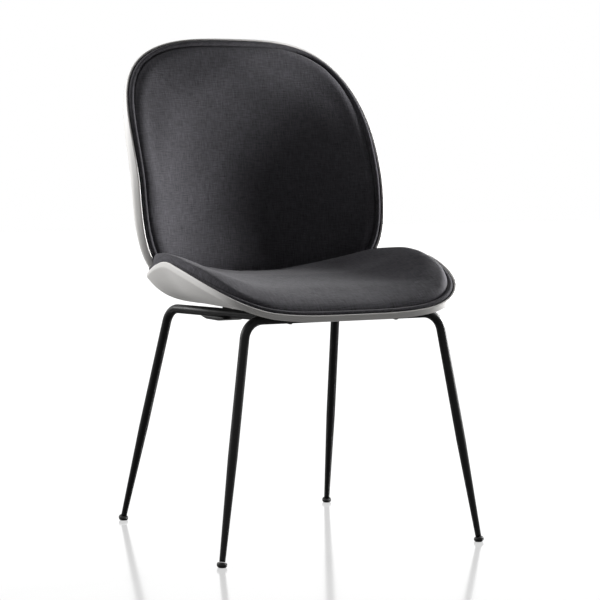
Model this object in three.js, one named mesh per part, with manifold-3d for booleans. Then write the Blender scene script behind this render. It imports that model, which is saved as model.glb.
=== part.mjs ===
// Upholstered dining chair: two padded plastic shells on a bent steel tube frame.
// Millimetres, +Z up. The chair faces -Y and its left side, as the sitter sees it, is +X.
// The front feet stand on Y = 0 while the parts are made; the last lines centre the footprint.
import * as THREE from 'three';
import { mergeVertices } from 'three/addons/utils/BufferGeometryUtils.js';
import Module from 'manifold-3d';

const wasm = await Module();
wasm.setup();

// ---- Driving dimensions -------------------------------------------------------------------

const SIDES = [-1, 1];
const GAP = 0.4;

// Frame of round tube
const TUBE_R = 8;
const TUBE_WALL = 1.6;
const TUBE_TIP_R = 5;
const TAPER_HEIGHT = 175;
const BEND_R = 34;
const TUBE_Z = 393.5;
const TUBE_TOP = TUBE_Z + TUBE_R;
const REAR_TUBE_Z = 391;
const TUBE_END_Z = 9;
const FRONT_FOOT = { x: 245, y: 0 };
const REAR_FOOT = { x: 210, y: 482 };
const FRONT_CORNER = { x: 182, y: 36 };
const REAR_CORNER = { x: 167, y: 368 };
const REAR_TUBE_FRONT_X = 100;

// Foot glides
const GLIDE_R = 8.5;
const GLIDE_HEIGHT = 8;

// Seat dish, seen from above: half width, reach to the front and to the rear of its middle,
// and how square its corners are (2 is an ellipse)
const SEAT = { a: 252.5, front: 232, rear: 207, mid: 232 };
const SEAT_SQUARENESS = { frontX: 6.5, frontY: 2.38, rear: 1.96 };
// Height of the rim in front, its climb toward the rear and its climb toward the wings
const SWEEP = { front: 398, climb: 47.6, run: 230, climbPower: 0.9, wing: 42.7, wingPower: 3.5 };
// The rim drops by `depth` behind the wings, from the line `from` over the length `run`
const WING_DROP = { depth: 38, from: 175, run: 125 };
// The sitting surface sinks below that climb toward the rear of its middle
const REAR_SINK = { depth: 26, from: 200, run: 230 };
const SEAT_FLOOR = 405.5;
// Upright edge of the seat shell: its height in front, and behind the wings
const SEAT_RIM_WALL = 9;
const REAR_RIM_WALL = 6;
const SEAT_WELT_DEPTH = 6.5;
const SEAT_TURN_UP = 7.5;
const SEAT_FLAT_SHARE = 0.4;
// In front the dish turns down between these shares of the way to its outline
const FRONT_LIP = { from: 0.88, to: 0.955 };
const SEAT_CROWN = 27;
// Roll of the pad along both wings: how high, how fast it rises from the seam and falls inward
const BOLSTER = { height: 12, rise: 16, fall: 55 };

// Back dish, seen from the front: half width, reach up and down from its middle
const BACK = { a: 239.3, up: 231, down: 212, mid: 634.5 };
const BACK_SQUARENESS = { up: 3.24, down: 3.8 };
// Where its middle line stands at the seat and how it leans, and how far its sides come forward
const BACK_LEAN = { y: 392, z: 457, slope: 0.154 };
const BACK_HOLLOW = { depth: 84, fadeFrom: 600, fadeRun: 225, fadePower: 1.6 };
const BACK_DEPTH = 28;
const BACK_CROWN = 9;

// Both dishes: width of the bare rim outside the fabric, and wall thickness
const RIM = 3.5;
const WALL = 4;

// Piping roll, and the band it takes inside the rim
const WELT_R = 5;
const WELT_BAND = 11;

// Boards that stiffen the pads
const SEAT_BOARD = { lift: 6.5, thick: 5, across: 0.7, front: 0.8, rear: 0.54 };
const BACK_BOARD = { depth: 16, thick: 3.8, share: 0.75 };

// Fasteners
const BOLT_R = 3;
const HEAD_R = 6;
const HEAD_H = 2.8;
const TAB_T = 3;
const LUG_T = 4;
const WASHER_T = 1.2;
const WASHER_R = 8.5;
const SPACER_R = 8;
const TEE_NUT = { barrelR: 4, flangeR: 9, flangeT: 1.2, barrelDepth: 2 };
const BACK_SCREW = { holeR: 2.9, length: 19, share: 0.8, headY: 427.8 };
// The front tabs: half width, and where they start and end ahead of and behind their bolt
const FRONT_TAB = { half: 13, overlap: 2, behind: 16 };
// The rear lugs: half length along the tube at the top and at the bottom, and their width
// inward of the bolt and outward of the tube's centre line
const REAR_LUG = { top: 46, bottom: 24, inward: 12, outward: 4 };
// Tools for upright holes reach from below the frame to above the boards
const HOLE_FROM = 360;
const HOLE_TO = 430;

// ---- Surfaces -----------------------------------------------------------------------------

const clamp01 = (t) => Math.min(1, Math.max(0, t));
const smooth = (t, from, to) => {
  const s = clamp01((t - from) / (to - from));
  return s * s * (3 - 2 * s);
};

// Distance from the middle to the outline |u/a|^p + |v/b|^q = 1, in the direction (cu, cv).
function reach(cu, cv, a, b, p, q) {
  let low = 0;
  let high = 2 * Math.max(a, b);
  for (let i = 0; i < 40; i += 1) {
    const t = (low + high) / 2;
    const inside = Math.abs(t * cu / a) ** p + Math.abs(t * cv / b) ** q < 1;
    if (inside) low = t;
    else high = t;
  }
  return low;
}

// Seat outline from above at an angle, grown by `grow`: [x, y].
function seatOutline(angle, grow) {
  const cu = Math.cos(angle);
  const cv = Math.sin(angle);
  const a = SEAT.a + grow;
  const t = cv < 0
    ? reach(cu, cv, a, SEAT.front + grow, SEAT_SQUARENESS.frontX, SEAT_SQUARENESS.frontY)
    : reach(cu, cv, a, SEAT.rear + grow, SEAT_SQUARENESS.rear, SEAT_SQUARENESS.rear);
  return [t * cu, SEAT.mid + t * cv];
}

// The surface both the rim and the pad start from: it climbs to the rear and to both wings.
function seatSweepZ(x, y) {
  const climb = SWEEP.climb * (Math.max(y, 0) / SWEEP.run) ** SWEEP.climbPower;
  const wing = SWEEP.wing * (Math.abs(x) / SEAT.a) ** SWEEP.wingPower;
  return SWEEP.front + climb + wing;
}

// Height of the seat's rim line: it drops away behind the wings.
const wingDrop = (y) => {
  const t = clamp01((y - WING_DROP.from) / WING_DROP.run);
  return (WING_DROP.depth / 2) * (1 - Math.cos(Math.PI * t));
};
const seatRimZ = (x, y) => seatSweepZ(x, y) - wingDrop(y);

// Sitting surface at the pad's edge seam: it levels off to the rear in the middle, and follows
// part of the rim's drop at the sides.
function seatTopZ(x, y) {
  const middleSink = REAR_SINK.depth * clamp01((y - REAR_SINK.from) / REAR_SINK.run);
  const sideSink = 0.2 * wingDrop(y);
  const sideness = Math.min(1, Math.abs(x) / SEAT.front) ** 4;
  return seatSweepZ(x, y) - middleSink * (1 - sideness) - sideSink * sideness;
}

// Front face of the back: leaning, hollow across its lower part, flat across its top.
function backY(x, z) {
  const lean = BACK_LEAN.y + BACK_LEAN.slope * (z - BACK_LEAN.z);
  const fade = Math.max(0, (z - BACK_HOLLOW.fadeFrom) / BACK_HOLLOW.fadeRun) ** BACK_HOLLOW.fadePower;
  return lean - BACK_HOLLOW.depth * (1 - fade) * (x / BACK.a) ** 2;
}

// Back outline from the front at an angle, grown by `grow`: [x, z].
function backOutline(angle, grow) {
  const cu = Math.cos(angle);
  const cv = Math.sin(angle);
  const a = BACK.a + grow;
  const t = cv > 0
    ? reach(cu, cv, a, BACK.up + grow, BACK_SQUARENESS.up, BACK_SQUARENESS.up)
    : reach(cu, cv, a, BACK.down + grow, BACK_SQUARENESS.down, BACK_SQUARENESS.down);
  return [t * cu, BACK.mid + t * cv];
}

// Unit direction out of the rear of the back at a place on it.
function backNormal(x, z) {
  const dx = backY(x + 1, z) - backY(x - 1, z);
  const dz = backY(x, z + 1) - backY(x, z - 1);
  return new THREE.Vector3(-dx / 2, 1, -dz / 2).normalize();
}

// ---- Solids -------------------------------------------------------------------------------

// Closed skin over rings with equal numbers of points. `start` and `end` are the points that
// close the two ends; with neither, the last ring joins the first.
function loft(rings, start, end) {
  const n = rings[0].length;
  const points = rings.flat();
  const faces = [];
  const quad = (a, b, c, d) => faces.push(a, b, c, a, c, d);
  const loops = start ? rings.length - 1 : rings.length;
  for (let k = 0; k < loops; k += 1) {
    const next = (k + 1) % rings.length;
    for (let i = 0; i < n; i += 1) {
      const j = (i + 1) % n;
      quad(k * n + i, k * n + j, next * n + j, next * n + i);
    }
  }
  if (start) {
    const first = points.push(start) - 1;
    const last = points.push(end) - 1;
    const tail = (rings.length - 1) * n;
    for (let i = 0; i < n; i += 1) {
      const j = (i + 1) % n;
      faces.push(first, j, i, last, tail + i, tail + j);
    }
  }
  let volume = 0;
  for (let i = 0; i < faces.length; i += 3) {
    const [a, b, c] = [points[faces[i]], points[faces[i + 1]], points[faces[i + 2]]];
    volume += a.dot(b.clone().cross(c));
  }
  if (volume < 0) faces.reverse();
  const geometry = new THREE.BufferGeometry().setFromPoints(points);
  geometry.setIndex(faces);
  return geometry;
}

const toManifold = (source) => {
  const geometry = source.clone();
  geometry.deleteAttribute('normal');
  geometry.deleteAttribute('uv');
  const merged = mergeVertices(geometry, 1e-4);
  return new wasm.Manifold(new wasm.Mesh({
    numProp: 3,
    vertProperties: new Float32Array(merged.attributes.position.array),
    triVerts: new Uint32Array(merged.index.array),
  }));
};

const fromManifold = (solid) => {
  const mesh = solid.getMesh();
  const geometry = new THREE.BufferGeometry();
  geometry.setAttribute('position', new THREE.BufferAttribute(mesh.vertProperties, 3));
  geometry.setIndex(new THREE.BufferAttribute(mesh.triVerts, 1));
  return geometry;
};

// A solid with the tools taken away from it.
function cut(geometry, tools) {
  let solid = toManifold(geometry);
  for (const tool of tools) solid = solid.subtract(toManifold(tool));
  return fromManifold(solid);
}

// Upright cylinder from z0 to z1 over (x, y).
function post(x, y, z0, z1, radius, sides = 12) {
  const geometry = new THREE.CylinderGeometry(radius, radius, z1 - z0, sides);
  geometry.rotateX(Math.PI / 2);
  return geometry.translate(x, y, (z0 + z1) / 2);
}

// Tool for an upright hole at a fastener.
const holeAt = (at, radius) => post(at.x, at.y, HOLE_FROM, HOLE_TO, radius);

function box(x0, x1, y0, y1, z0, z1) {
  const geometry = new THREE.BoxGeometry(x1 - x0, y1 - y0, z1 - z0);
  return geometry.translate((x0 + x1) / 2, (y0 + y1) / 2, (z0 + z1) / 2);
}

const V = (x, y, z) => new THREE.Vector3(x, y, z);
const ANGLES = 44;
const RADII = [0.35, 0.65, 0.8, 0.88, 0.92, 0.96, 1];

// One ring of a surface: `place(angle, r)` gives its points.
const ring = (place, r) => Array.from({ length: ANGLES }, (_, i) => (
  place(((i + 0.5) * 2 * Math.PI) / ANGLES, r)
));

// Closed solid between two surfaces that share an outline, each `place(angle, r)`.
function between(front, rear, extra = []) {
  const rings = RADII.map((r) => ring(front, r));
  for (const place of extra) rings.push(ring(place, 1));
  for (const r of [...RADII].reverse()) rings.push(ring(rear, r));
  return loft(rings, front(0, 0), rear(0, 0));
}

// ---- Parts --------------------------------------------------------------------------------

const chair = new THREE.Group();

const FINISHES = {
  fabric: { color: 0x45444a, roughness: 0.95, metalness: 0 },
  shell: { color: 0xe6e2dc, roughness: 0.5, metalness: 0 },
  steel: { color: 0x151515, roughness: 0.45, metalness: 0.3 },
  zinc: { color: 0xa8abb0, roughness: 0.35, metalness: 0.9 },
  nylon: { color: 0x1b1b1b, roughness: 0.6, metalness: 0 },
  board: { color: 0xb08a5e, roughness: 0.8, metalness: 0 },
};

function add(name, geometry, finish) {
  geometry.computeVertexNormals();
  const mesh = new THREE.Mesh(geometry, new THREE.MeshStandardMaterial(FINISHES[finish]));
  mesh.name = name;
  chair.add(mesh);
}

const sideName = (side) => (side < 0 ? 'right' : 'left');

// -- Seat dish

// Surface over the seat's outline: `height(r, angle, ex, ey)` gives its height at a share r of
// the way from the middle to the outline point (ex, ey).
const seatPlace = (grow, height) => (angle, r) => {
  const [ex, ey] = seatOutline(angle, grow);
  return V(ex * r, SEAT.mid + (ey - SEAT.mid) * r, height(r, angle, ex, ey));
};

// The dish is flat below the sitter and turns up toward its rim. In front it turns down
// instead, in a short lip ahead of the frame.
function dishZ(floor, wall) {
  return (r, angle, ex, ey) => {
    const frontness = Math.max(0, -Math.sin(angle)) ** 4;
    const dished = r > SEAT_FLAT_SHARE ? r ** SEAT_TURN_UP : 0;
    const lip = smooth(r, FRONT_LIP.from, FRONT_LIP.to);
    const turn = (1 - frontness) * dished + frontness * lip;
    return floor + (seatRimZ(ex, ey) - wall(ey) - floor) * turn;
  };
}
const rimWall = (y) => SEAT_RIM_WALL + (REAR_RIM_WALL - SEAT_RIM_WALL) * smooth(y, 150, 270);
const rimHeight = (r, angle, ex, ey) => seatRimZ(ex, ey);
const seatOutside = seatPlace(RIM, dishZ(SEAT_FLOOR, rimWall));
const seatInside = seatPlace(0, dishZ(SEAT_FLOOR + WALL, () => SEAT_WELT_DEPTH));

// Underside height of the seat dish over a place on its flat part.
function undersideZ(x, y) {
  const angle = Math.atan2(y - SEAT.mid, x);
  const [ex, ey] = seatOutline(angle, RIM);
  const r = Math.hypot(x, y - SEAT.mid) / Math.hypot(ex, ey - SEAT.mid);
  return seatOutside(angle, r).z;
}

// -- Back dish

const backPlace = (grow, depth) => (angle, r) => {
  const [ex, ez] = backOutline(angle, grow);
  const x = ex * r;
  const z = BACK.mid + (ez - BACK.mid) * r;
  return V(x, backY(x, z), z).addScaledVector(backNormal(x, z), depth(r, z));
};
const rounded = (depth, n) => (r) => depth * Math.max(0, 1 - r ** n) ** (1 / n);
const dishDepth = (depth) => (r, z) => rounded(depth, 3.5 + 1.6 * smooth(z, 860, 640))(r);
const backOutside = backPlace(RIM, dishDepth(BACK_DEPTH));
const backInside = backPlace(0, dishDepth(BACK_DEPTH - WALL));

// Everything behind the front of the padded back: it trims the rear of the seat's pad and
// piping, which the back passes behind.
function behindBack() {
  const face = backPlace(RIM + 8, () => -BACK_CROWN - 1);
  const far = (angle, r) => face(angle, r).add(V(0, 120, 0));
  return between(face, far);
}

// -- Fastening places

const REAR_TAB_Y = 240;
const tubeX = (y) => REAR_TUBE_FRONT_X
  + (REAR_CORNER.x - REAR_TUBE_FRONT_X) * (y - FRONT_CORNER.y) / (REAR_CORNER.y - FRONT_CORNER.y);
const SEAT_BOLTS = SIDES.flatMap((side) => [
  { x: side * 131, y: 66, row: 'front', side },
  { x: side * (tubeX(REAR_TAB_Y) - 24), y: REAR_TAB_Y, row: 'rear', side },
]);
const JOINT_SCREWS = SIDES.map((side) => ({ x: side * 20, y: 366, side }));
const JOINT_BACK_Z = 435;
const STRAP_FRONT = 352;
const STRAP_HALF = 33;
const STRAP_T = 2.6;

const BOARD_Z = SEAT_FLOOR + WALL + SEAT_BOARD.lift;
const BOARD_TOP = BOARD_Z + SEAT_BOARD.thick;

// -- Shells

const boltHoles = [...SEAT_BOLTS, ...JOINT_SCREWS].map((at) => holeAt(at, BOLT_R + GAP));
const backScrewHoles = JOINT_SCREWS.map((at) => {
  const hole = new THREE.CylinderGeometry(BACK_SCREW.holeR, BACK_SCREW.holeR, 60, 12);
  return hole.translate(at.x, BACK_SCREW.headY - 13, JOINT_BACK_Z);
});

add('seat_shell', cut(
  between(seatInside, seatOutside, [seatPlace(0, rimHeight), seatPlace(RIM, rimHeight)]),
  boltHoles,
), 'shell');
add('back_shell', cut(between(backInside, backOutside), backScrewHoles), 'shell');

// -- Boards inside the shells

function boardSlab(grow, z0, z1) {
  const edge = (z) => ring((angle) => {
    const [ex, ey] = seatOutline(angle, 0);
    const along = ey < SEAT.mid ? SEAT_BOARD.front : SEAT_BOARD.rear;
    const out = V(SEAT_BOARD.across * ex, along * (ey - SEAT.mid), 0);
    return out.setLength(out.length() + grow).add(V(0, SEAT.mid, z));
  }, 1);
  return loft([edge(z0), edge(z1)], V(0, SEAT.mid, z0), V(0, SEAT.mid, z1));
}
const boardHoles = SEAT_BOLTS.map((at) => holeAt(at, TEE_NUT.barrelR + GAP));
add('seat_board', cut(boardSlab(0, BOARD_Z, BOARD_TOP), boardHoles), 'board');
const backBoard = (depth) => {
  const place = backPlace(0, () => depth);
  return (angle, r) => place(angle, r * BACK_BOARD.share);
};
add('back_board', between(
  backBoard(BACK_BOARD.depth),
  backBoard(BACK_BOARD.depth + BACK_BOARD.thick),
), 'board');

// -- Pads

// The seat pad rises from its edge seam to a crown that is fuller toward the front.
const padCrown = (y) => SEAT_CROWN * (1 - 0.9 * clamp01((y - 20) / 340) ** 0.8);
const seatPadTop = (angle, r) => {
  const [ex, ey] = seatOutline(angle, -WELT_BAND);
  const x = ex * r;
  const y = SEAT.mid + (ey - SEAT.mid) * r;
  const inward = (1 - r) * Math.hypot(ex, ey - SEAT.mid);
  const roll = Math.sqrt(1 - (1 - clamp01(inward / BOLSTER.rise)) ** 2);
  const fall = Math.exp(-((Math.max(inward - BOLSTER.rise, 0) / BOLSTER.fall) ** 2));
  const bolster = BOLSTER.height * Math.cos(angle) ** 2 * smooth(y, 0, 120) * roll * fall;
  return V(x, y, seatTopZ(x, y) + padCrown(y) * (1 - r ** 8) + bolster);
};
const seatPadUnder = (angle, r) => {
  const [ex, ey] = seatOutline(angle, -WELT_BAND);
  const [dx, dy] = seatOutline(angle, 0);
  const inDish = r * Math.hypot(ex, ey - SEAT.mid) / Math.hypot(dx, dy - SEAT.mid);
  return seatInside(angle, inDish).add(V(0, 0, 2));
};
const strapRoom = box(-STRAP_HALF - 3, STRAP_HALF + 3, STRAP_FRONT - 4, 430, 400, 420);
const boardRoom = boardSlab(5, SEAT_FLOOR, BOARD_TOP + 2.4);
const seatPad = cut(between(seatPadTop, seatPadUnder), [behindBack(), strapRoom, boardRoom]);
add('seat_pad', seatPad, 'fabric');

const backPadFront = backPlace(-WELT_BAND, (r) => -BACK_CROWN * (1 - r ** 12));
const backPadRear = backPlace(-WELT_BAND, (r) => 4 + rounded(11, 6)(r));
add('back_pad', between(backPadFront, backPadRear), 'fabric');

// -- Piping: a round roll along the inside of each rim

function piping(centre, hub) {
  const sides = 8;
  const steps = 56;
  const at = (i) => centre((i * 2 * Math.PI) / steps);
  const rings = Array.from({ length: steps }, (_, i) => {
    const ahead = at(i + 0.05).sub(at(i - 0.05)).normalize();
    const middle = at(i);
    const outward = middle.clone().sub(hub).normalize();
    const side = new THREE.Vector3().crossVectors(ahead, outward).normalize();
    const across = new THREE.Vector3().crossVectors(side, ahead);
    return Array.from({ length: sides }, (__, k) => {
      const turn = (k * 2 * Math.PI) / sides;
      return middle.clone()
        .addScaledVector(across, WELT_R * Math.cos(turn))
        .addScaledVector(side, WELT_R * Math.sin(turn));
    });
  });
  return loft(rings);
}
const weltInset = -(WELT_R + GAP);
const seatWelt = (angle) => {
  const [x, y] = seatOutline(angle, weltInset);
  return V(x, y, seatRimZ(x, y) + 1 + 0.3 * wingDrop(y));
};
add('seat_piping', cut(piping(seatWelt, V(0, SEAT.mid, 430)), [behindBack()]), 'fabric');
const backWelt = (angle) => backPlace(weltInset, () => -2.2)(angle, 1);
add('back_piping', piping(backWelt, V(0, 400, BACK.mid)), 'fabric');

// -- Frame

// Points along a polyline whose inner corners are rounded to a radius.
function bentPath(corners, radius, steps) {
  const path = [corners[0]];
  for (let i = 1; i < corners.length - 1; i += 1) {
    const at = corners[i];
    const before = corners[i - 1].clone().sub(at).normalize();
    const after = corners[i + 1].clone().sub(at).normalize();
    const half = before.angleTo(after) / 2;
    if (half > 0.49 * Math.PI) {
      path.push(at);
      continue;
    }
    const reachIn = radius / Math.tan(half);
    const middle = before.clone().add(after).normalize().multiplyScalar(radius / Math.sin(half)).add(at);
    const from = at.clone().addScaledVector(before, reachIn).sub(middle);
    const to = at.clone().addScaledVector(after, reachIn).sub(middle);
    const sweep = from.angleTo(to);
    for (let k = 0; k <= steps; k += 1) {
      const t = k / steps;
      const a = Math.sin((1 - t) * sweep) / Math.sin(sweep);
      const b = Math.sin(t * sweep) / Math.sin(sweep);
      path.push(from.clone().multiplyScalar(a).addScaledVector(to, b).add(middle));
    }
  }
  path.push(corners.at(-1));
  return path;
}

// Round tube along a path, with a bore that is open at both ends.
function tube(path, radiusAt, sides = 12) {
  const skins = [0, TUBE_WALL].map((inset) => {
    let side = null;
    return path.map((point, i) => {
      const back = point.clone().sub(path[Math.max(0, i - 1)]).normalize();
      const ahead = path[Math.min(path.length - 1, i + 1)].clone().sub(point).normalize();
      const along = back.add(ahead).normalize();
      if (!side) side = new THREE.Vector3(0, 1, 0);
      side = side.addScaledVector(along, -side.dot(along)).normalize().clone();
      const across = new THREE.Vector3().crossVectors(along, side);
      return Array.from({ length: sides }, (_, k) => {
        const turn = (k * 2 * Math.PI) / sides;
        return point.clone()
          .addScaledVector(side, (radiusAt(point) - inset) * Math.cos(turn))
          .addScaledVector(across, (radiusAt(point) - inset) * Math.sin(turn));
      });
    });
  });
  return loft([...skins[0], ...skins[1].reverse()]);
}
const legRadius = (point) => (
  TUBE_TIP_R + (TUBE_R - TUBE_TIP_R) * clamp01((point.z - TUBE_END_Z) / (TAPER_HEIGHT - TUBE_END_Z))
);

// A point on the straight line from a foot on the floor to its frame corner, at a height.
const onLeg = (side, foot, corner, z) => {
  const t = z / TUBE_Z;
  const x = side * (foot.x + (corner.x - foot.x) * t);
  return V(x, foot.y + (corner.y - foot.y) * t, z);
};

const frontLeg = (side) => [TUBE_END_Z, TAPER_HEIGHT, TUBE_Z]
  .map((z) => onLeg(side, FRONT_FOOT, FRONT_CORNER, z));
const hoopPath = bentPath([...frontLeg(-1), ...frontLeg(1).reverse()], BEND_R, 6);
add('front_leg_hoop', tube(hoopPath, legRadius), 'steel');

const crossbarSleeve = new THREE.CylinderGeometry(TUBE_R + GAP, TUBE_R + GAP, 300, 24);
crossbarSleeve.rotateZ(Math.PI / 2).translate(0, FRONT_CORNER.y, TUBE_Z);
for (const side of SIDES) {
  const leg = [TUBE_END_Z, TAPER_HEIGHT, REAR_TUBE_Z]
    .map((z) => onLeg(side, REAR_FOOT, REAR_CORNER, z));
  const path = bentPath([...leg, V(side * REAR_TUBE_FRONT_X, FRONT_CORNER.y, TUBE_Z)], BEND_R, 6);
  add(`rear_leg_${sideName(side)}`, cut(tube(path, legRadius), [crossbarSleeve]), 'steel');
}

// -- Foot glides: a domed nylon cap with a stem up the bore, worn flat where it stands

const glideProfile = [
  [0, -1.4], [3.4, -1.1], [6.4, 0.4], [8.1, 2.6], [GLIDE_R, 5], [GLIDE_R - 0.6, GLIDE_HEIGHT],
  [2.7, GLIDE_HEIGHT], [2.7, GLIDE_HEIGHT + 12], [0, GLIDE_HEIGHT + 12],
].map(([x, y]) => new THREE.Vector2(x, y));
const floorBox = box(-600, 600, -300, 900, -30, 0);
const LEGS = [['front', FRONT_FOOT, FRONT_CORNER], ['rear', REAR_FOOT, REAR_CORNER]];
for (const side of SIDES) {
  for (const [row, foot, corner] of LEGS) {
    const base = onLeg(side, foot, corner, 0);
    const along = onLeg(side, foot, corner, TUBE_Z).sub(base).normalize();
    const glide = new THREE.LatheGeometry(glideProfile, 14);
    glide.applyQuaternion(new THREE.Quaternion().setFromUnitVectors(V(0, 1, 0), along));
    glide.translate(base.x, base.y, base.z);
    add(`glide_${row}_${sideName(side)}`, cut(glide, [floorBox]), 'nylon');
  }
}

// -- Welded tabs, with the bolts, spacers and tee nuts that hold the seat

const FRONT_TAB_TOP = TUBE_TOP - 0.1;
const REAR_TAB_TOP = REAR_TUBE_Z - TUBE_R - GAP;

// A rear tab is a lug under its tube, with the ends cut off at a slant.
function rearTab(at) {
  const inner = at.x - at.side * REAR_LUG.inward;
  const outer = at.side * (tubeX(at.y) + REAR_LUG.outward);
  const { top, bottom } = REAR_LUG;
  const lug = new THREE.Shape([[-top, 0], [-bottom, -LUG_T], [bottom, -LUG_T], [top, 0]]
    .map(([y, z]) => new THREE.Vector2(at.y + y, REAR_TAB_TOP + z)));
  const depth = Math.abs(outer - inner);
  const solid = new THREE.ExtrudeGeometry(lug, { depth, bevelEnabled: false, steps: 1 });
  solid.applyMatrix4(new THREE.Matrix4().makeBasis(V(0, 1, 0), V(0, 0, 1), V(1, 0, 0)));
  return solid.translate(Math.min(inner, outer), 0, 0);
}
const frontTab = (at) => box(
  at.x - FRONT_TAB.half, at.x + FRONT_TAB.half,
  FRONT_CORNER.y + FRONT_TAB.overlap, at.y + FRONT_TAB.behind,
  FRONT_TAB_TOP - TAB_T, FRONT_TAB_TOP,
);

// Countersunk bolt standing on its flat head from z0, grown by `grow`, to z1.
function countersink(x, y, z0, z1, grow) {
  const outline = [
    [0, 0], [HEAD_R + grow, 0], [BOLT_R + grow, HEAD_H + 0.2], [BOLT_R + grow, z1 - z0], [0, z1 - z0],
  ].map(([r, h]) => new THREE.Vector2(r, h));
  return new THREE.LatheGeometry(outline, 12).rotateX(Math.PI / 2).translate(x, y, z0);
}
for (const at of SEAT_BOLTS) {
  const front = at.row === 'front';
  const hole = holeAt(at, BOLT_R + GAP);
  const cone = countersink(at.x, at.y, REAR_TAB_TOP - LUG_T - 0.01, REAR_TAB_TOP + 1, GAP);
  const plate = front ? frontTab(at) : rearTab(at);
  add(`tab_${at.row}_${sideName(at.side)}`, cut(plate, [crossbarSleeve, front ? hole : cone]), 'steel');
}

// Button head bolt standing on its head from z0, to the top of its thread at z1.
function bolt(x, y, z0, z1) {
  const outline = [
    [0, 0], [HEAD_R - 2.2, 0], [HEAD_R - 0.6, 0.9], [HEAD_R, HEAD_H],
    [BOLT_R, HEAD_H], [BOLT_R, z1 - z0], [0, z1 - z0],
  ].map(([r, h]) => new THREE.Vector2(r, h));
  return new THREE.LatheGeometry(outline, 12).rotateX(Math.PI / 2).translate(x, y, z0);
}
// Ring from z0 to z1.
function washer(x, y, z0, z1, inner, outer) {
  const outline = [[inner, z0], [outer, z0], [outer, z1], [inner, z1], [inner, z0]]
    .map(([r, h]) => new THREE.Vector2(r, h));
  return new THREE.LatheGeometry(outline, 14).rotateX(Math.PI / 2).translate(x, y, 0);
}
for (const at of SEAT_BOLTS) {
  const name = `${at.row}_${sideName(at.side)}`;
  const tabTop = at.row === 'front' ? FRONT_TAB_TOP : REAR_TAB_TOP;
  const bore = BOLT_R + GAP;
  if (at.row === 'front') {
    const top = tabTop - TAB_T - GAP;
    const headTop = top - WASHER_T - GAP;
    add(`washer_${name}`, washer(at.x, at.y, top - WASHER_T, top, bore, WASHER_R), 'steel');
    add(`bolt_${name}`, bolt(at.x, at.y, headTop - HEAD_H, BOARD_TOP - 1), 'steel');
  } else {
    add(`bolt_${name}`, countersink(at.x, at.y, tabTop - LUG_T + 0.1, BOARD_TOP - 1, 0), 'steel');
  }
  const under = undersideZ(at.x, at.y) - GAP;
  add(`spacer_${name}`, washer(at.x, at.y, tabTop + GAP, under, bore, SPACER_R), 'nylon');
  const foot = BOARD_Z - TEE_NUT.barrelDepth;
  const flange = BOARD_TOP + GAP;
  const crown = flange + TEE_NUT.flangeT;
  const nut = [
    [bore, foot], [TEE_NUT.barrelR, foot], [TEE_NUT.barrelR, flange], [TEE_NUT.flangeR, flange],
    [TEE_NUT.flangeR, crown], [bore, crown], [bore, foot],
  ].map(([r, h]) => new THREE.Vector2(r, h));
  const nutSolid = new THREE.LatheGeometry(nut, 12).rotateX(Math.PI / 2).translate(at.x, at.y, 0);
  add(`tee_nut_${name}`, nutSolid, 'zinc');
}

// -- Joint between the shells: a bent steel strap from the seat floor up behind the back

const strapLine = new THREE.CatmullRomCurve3([
  V(0, STRAP_FRONT, SEAT_FLOOR + 8.6), V(0, 376, SEAT_FLOOR + 9.4), V(0, 391, SEAT_FLOOR + 11.6),
  V(0, 404, 420.7), V(0, 413, 428), V(0, 417.9, 435), V(0, 421.1, 443),
]);
const strapPoints = strapLine.getSpacedPoints(12);
const strapSide = (offset) => strapPoints.map((point, i) => {
  const along = strapLine.getTangentAt(i / 12);
  return new THREE.Vector2(point.y - offset * along.z, point.z + offset * along.y);
});
const strapShape = new THREE.Shape([...strapSide(STRAP_T / 2), ...strapSide(-STRAP_T / 2).reverse()]);
const strapWidth = { depth: 2 * STRAP_HALF, bevelEnabled: false, steps: 1 };
const strap = new THREE.ExtrudeGeometry(strapShape, strapWidth);
strap.applyMatrix4(new THREE.Matrix4().makeBasis(V(0, 1, 0), V(0, 0, 1), V(1, 0, 0)));
strap.translate(-STRAP_HALF, 0, 0);
add('joint_strap', cut(strap, [
  ...JOINT_SCREWS.map((at) => holeAt(at, BOLT_R + GAP)),
  ...backScrewHoles,
]), 'zinc');
for (const at of JOINT_SCREWS) {
  const under = undersideZ(at.x, at.y) - GAP;
  add(`joint_floor_screw_${sideName(at.side)}`, bolt(at.x, at.y, under - HEAD_H, SEAT_FLOOR + 13), 'steel');
  const screw = bolt(0, 0, 0, BACK_SCREW.length);
  screw.scale(BACK_SCREW.share, BACK_SCREW.share, 1).rotateX(Math.PI / 2);
  screw.translate(at.x, BACK_SCREW.headY, JOINT_BACK_Z);
  add(`joint_back_screw_${sideName(at.side)}`, screw, 'zinc');
}

// -- Place the footprint's middle at the origin

chair.updateMatrixWorld(true);
const bounds = new THREE.Box3().setFromObject(chair);
chair.position.y = -(bounds.min.y + bounds.max.y) / 2;
chair.updateMatrixWorld(true);

export default chair;
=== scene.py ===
# %% [markdown]
# # An upholstered dining chair
# Two padded dishes, a seat and a back, stand on a frame of bent black tube. The structure comes
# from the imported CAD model. This file makes its fine surfaces, its cloth and its finishes, in the
# same frame: metres, +Z up, the sitter faces -Y and the sitter's left is +X.

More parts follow.
